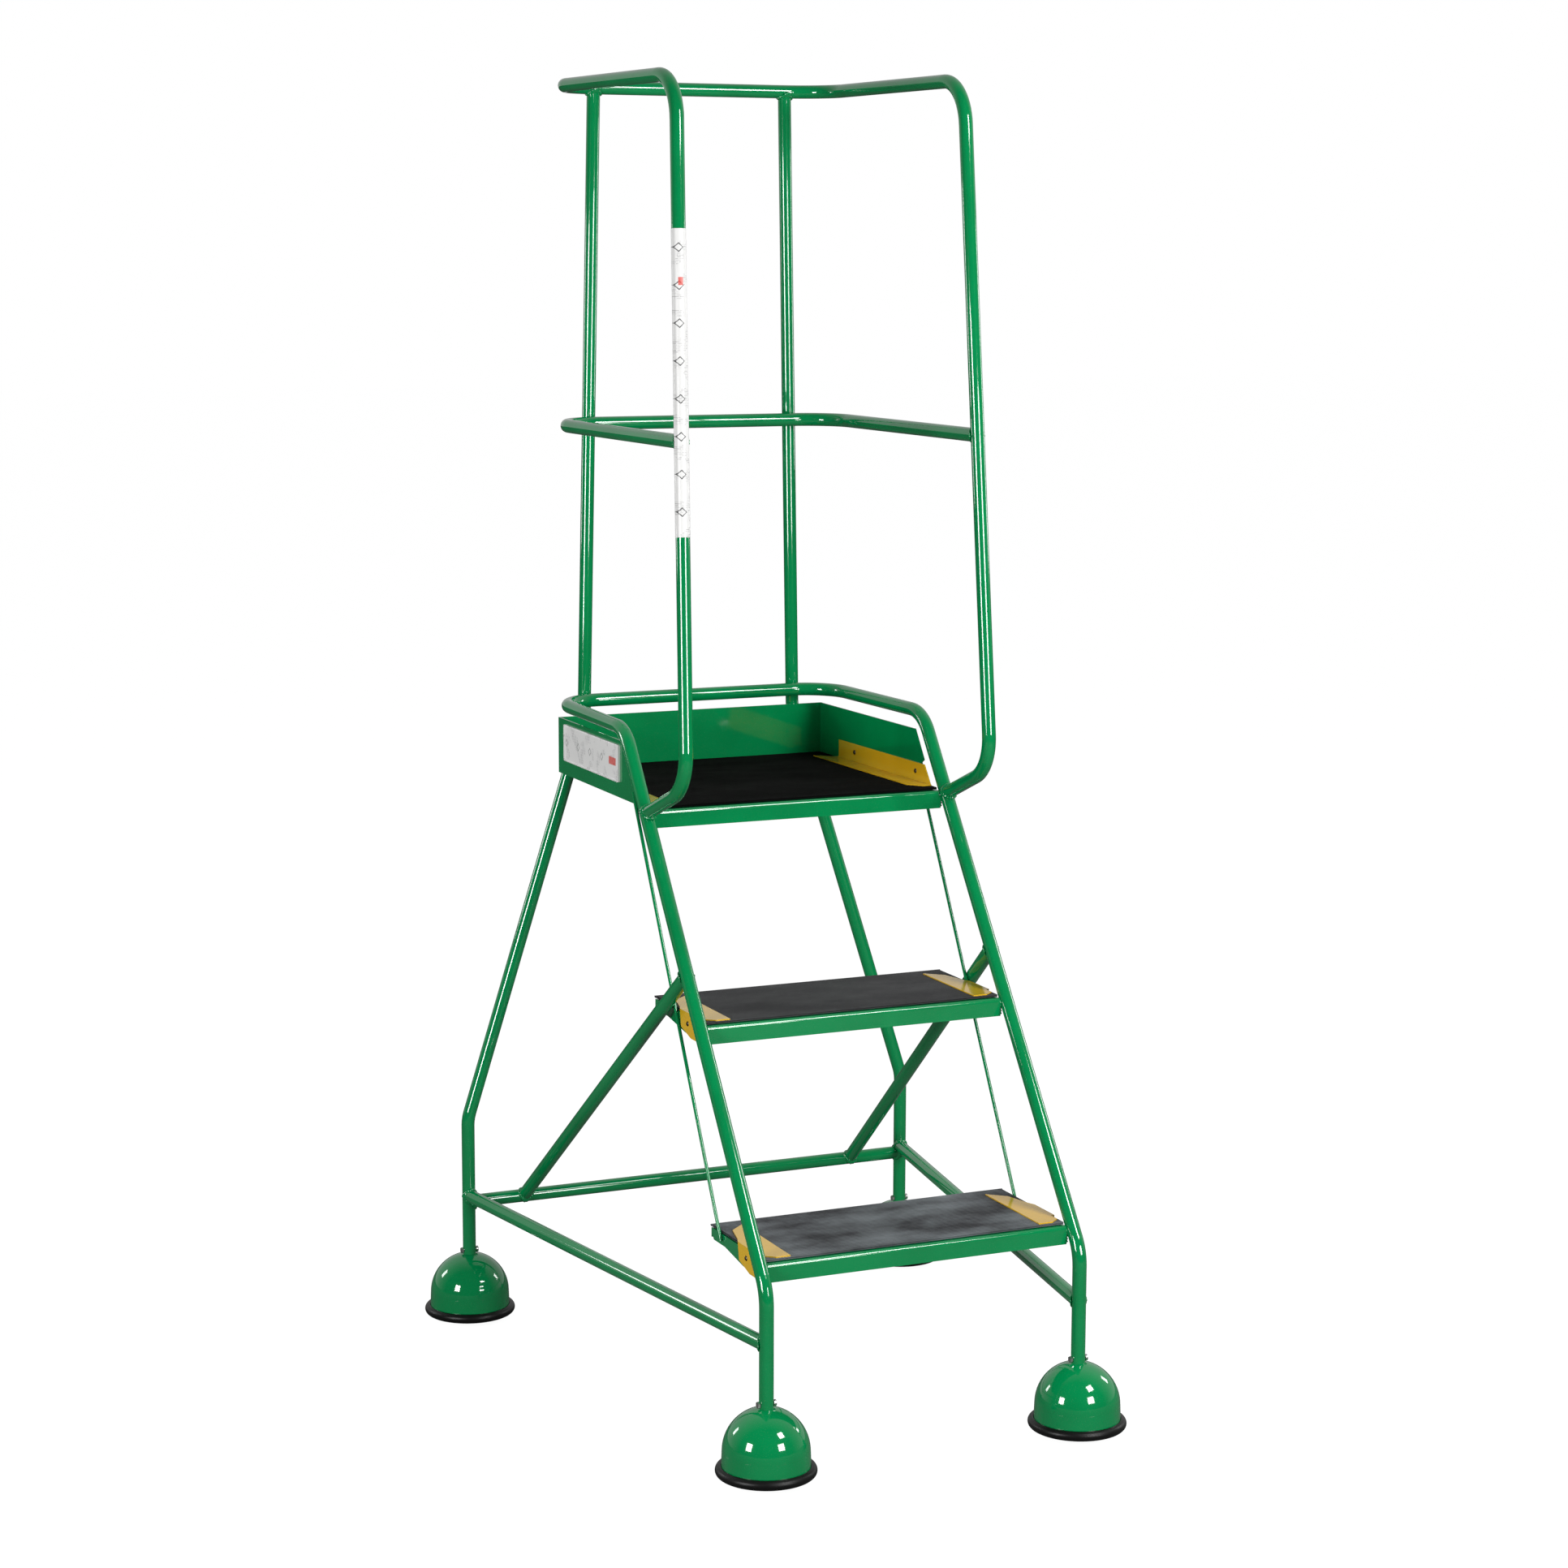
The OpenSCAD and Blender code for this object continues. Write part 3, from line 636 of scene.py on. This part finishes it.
lips = {"lower_lip": ("tread_1", 0.2635), "upper_lip": ("tread_2", 0.5175),
        "deck_lip": ("platform_tray", 0.7625)}
lip_end, lip_inset = 0.2048, 0.001
for name, (node, top) in lips.items():
    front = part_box(node)[0].y + lip_inset
    for side, word in ((1, "right"), (-1, "left")):
        straight_bead(word + "_" + name + "_weld", Vector((side * lip_end, front, top - 0.020)),
                      Vector((side * lip_end, front, top - 0.002)), drops=5)
print("straight beads:", 2 * len(lips))

# %% [markdown]
# The room is a white studio. The camera always sees white, but the half of the room behind
# the camera is dim, so that gloss paint keeps its deep colour and mirrors white only at
# grazing angles, as it does on a sweep of white paper. A plain white world would be simpler,
# but it turns gloss paint grey. Light Path tells the two kinds of ray apart, on the floor
# paper as well as in the world.

# %% Floor and world
floor_drop = 0.0005
bpy.ops.object.select_all(action="DESELECT")
bpy.ops.mesh.primitive_plane_add(size=60.0, location=(0, 0, -floor_drop))
floor = bpy.context.object
floor.name = "studio_floor"
paper, tree, shader = new_material("white paper")
shader.inputs["Base Color"].default_value = (0.16, 0.16, 0.16, 1)
shader.inputs["Roughness"].default_value = 1.0
shader.inputs["Specular IOR Level"].default_value = 0.0
shader.inputs["Emission Strength"].default_value = 1.0
ray = add(tree, "ShaderNodeLightPath")
glow = mix_colours(tree, ray.outputs["Is Camera Ray"], (0, 0, 0, 1), (0.96, 0.96, 0.96, 1))
join(tree, glow, shader.inputs["Emission Color"])
floor.data.materials.append(paper)
floor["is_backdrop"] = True

world = bpy.data.worlds.new("white studio")
world.use_nodes = True
tree = world.node_tree
backing = tree.nodes["Background"]
backing.inputs["Color"].default_value = (1, 1, 1, 1)
dim_side = (-0.41, -0.91, 0.0)
where = add(tree, "ShaderNodeTexCoord")
toward = add(tree, "ShaderNodeVectorMath", operation="DOT_PRODUCT")
toward.inputs[1].default_value = dim_side
dim = add(tree, "ShaderNodeMapRange", From_Min=-0.45, From_Max=0.25, To_Min=0.5, To_Max=0.04)
ray = add(tree, "ShaderNodeLightPath")
join(tree, where.outputs["Generated"], toward.inputs[0])
join(tree, toward.outputs["Value"], dim.inputs["Value"])
strength = math_node(tree, "MAXIMUM", dim.outputs[0], ray.outputs["Is Camera Ray"])
join(tree, strength, backing.inputs["Strength"])
bpy.context.scene.world = world
bpy.context.scene.view_settings.view_transform = "Standard"
print("floor and world:", floor.name, "and", world.name)

# %% [markdown]
# A studio lights glossy tube with large soft boxes, because a tube mirrors each box as one
# long streak and a domed foot mirrors it as a small bright square. One box stands to the
# left, two stand one above the other to the right, and two small ones behind draw the rims.

# %% Soft boxes
def soft_box(name, place, aim, width, height, power):
    light = bpy.data.lights.new(name, "AREA")
    light.shape = "RECTANGLE"
    light.size, light.size_y, light.energy = width, height, power
    lamp = bpy.data.objects.new(name, light)
    lamp.location = place
    lamp.rotation_euler = (Vector(aim) - Vector(place)).to_track_quat("-Z", "Y").to_euler()
    bpy.context.scene.collection.objects.link(lamp)
    print("light:", name, power, "W")


stand_middle = (0, 0, 0.6)
soft_box("left box", (-2.9, -1.25, 1.10), (-0.2, -0.3, 0.6), 0.8, 0.95, 54)
soft_box("right low box", (0.70, -2.95, 1.15), stand_middle, 0.85, 0.85, 42)
soft_box("right high box", (0.95, -2.05, 2.30), stand_middle, 0.75, 0.75, 38)
soft_box("left rim box", (-2.0, 1.9, 1.25), stand_middle, 0.4, 0.7, 8)
soft_box("right rim box", (2.7, 0.1, 1.35), stand_middle, 0.4, 0.7, 8)

# %% [markdown]
# The camera stands to the left of the treads, above the platform's height, and looks slightly
# down through a long lens. A long lens keeps the uprights nearly parallel, as a catalogue
# picture does. A trace of roll matches a tripod that is not quite level.

# %% Camera
camera_data = bpy.data.cameras.new("camera")
camera_data.lens = 78.916
camera_data.sensor_width = 36.0
camera_data.clip_end = 60.0
camera = bpy.data.objects.new("camera", camera_data)
bpy.context.scene.collection.objects.link(camera)
azimuth, elevation, roll = math.radians(-24.143), math.radians(8.943), math.radians(0.171)
back = Vector((math.sin(azimuth) * math.cos(elevation), -math.cos(azimuth) * math.cos(elevation),
               math.sin(elevation)))
level_view = (-back).to_track_quat("-Z", "Y").to_matrix()
camera.location = (-1.8236, -4.0148, 1.4800)
camera.rotation_euler = (level_view @ Matrix.Rotation(roll, 3, "Z")).to_euler()
bpy.context.scene.camera = camera
print("camera height in metres:", round(camera.location.z, 3))

# %% [markdown]
# The size of the stand with the added pieces, leaving out the floor, is printed. The
# added pieces must not make the stand larger than the imported model.

# %% Size of the stand
low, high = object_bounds()
print("visual size in metres:", [round(v, 3) for v in high - low])
